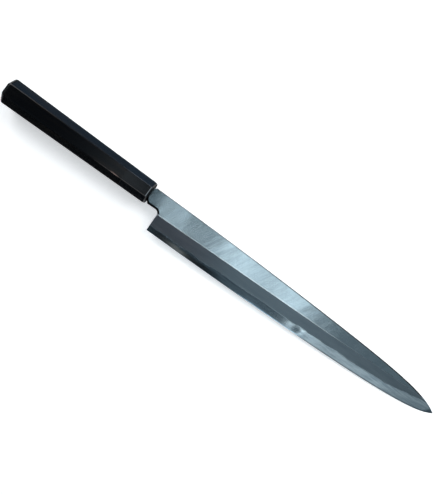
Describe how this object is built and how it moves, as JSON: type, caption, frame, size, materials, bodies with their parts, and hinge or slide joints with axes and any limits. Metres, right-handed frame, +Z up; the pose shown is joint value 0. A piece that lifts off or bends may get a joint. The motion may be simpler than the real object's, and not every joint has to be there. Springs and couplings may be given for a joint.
{
  "type": "yanagiba knife",
  "caption": "Long single-bevel slicing knife with a hollow-ground back, a layered steel blade and an octagonal dark wood handle with a horn ferrule.",
  "frame": {"origin": "centre of the bounding box's base, on the surface that the knife lies on", "axes": "+X along the blade to the tip, +Y towards the spine, +Z up from the bevelled front face; the knife lies on its flat back"},
  "size_m": [0.4644, 0.04, 0.0226],
  "materials": {
    "soft_iron": "fine diagonal grind on the flat, hazy stone polish on the bevel",
    "hard_steel": "bright stone polish",
    "ebony": "oiled and polished",
    "horn": "polished black horn",
    "dowel_wood": "bare",
    "resin": "hardened dark glue"
  },
  "bodies": {
    "root": {"blade_soft_iron": "soft_iron", "blade_hard_steel": "hard_steel", "ebony_grip": "ebony", "horn_ferrule": "horn", "tang_dowel": "dowel_wood", "tang_resin": "resin"}
  },
  "joints": []
}
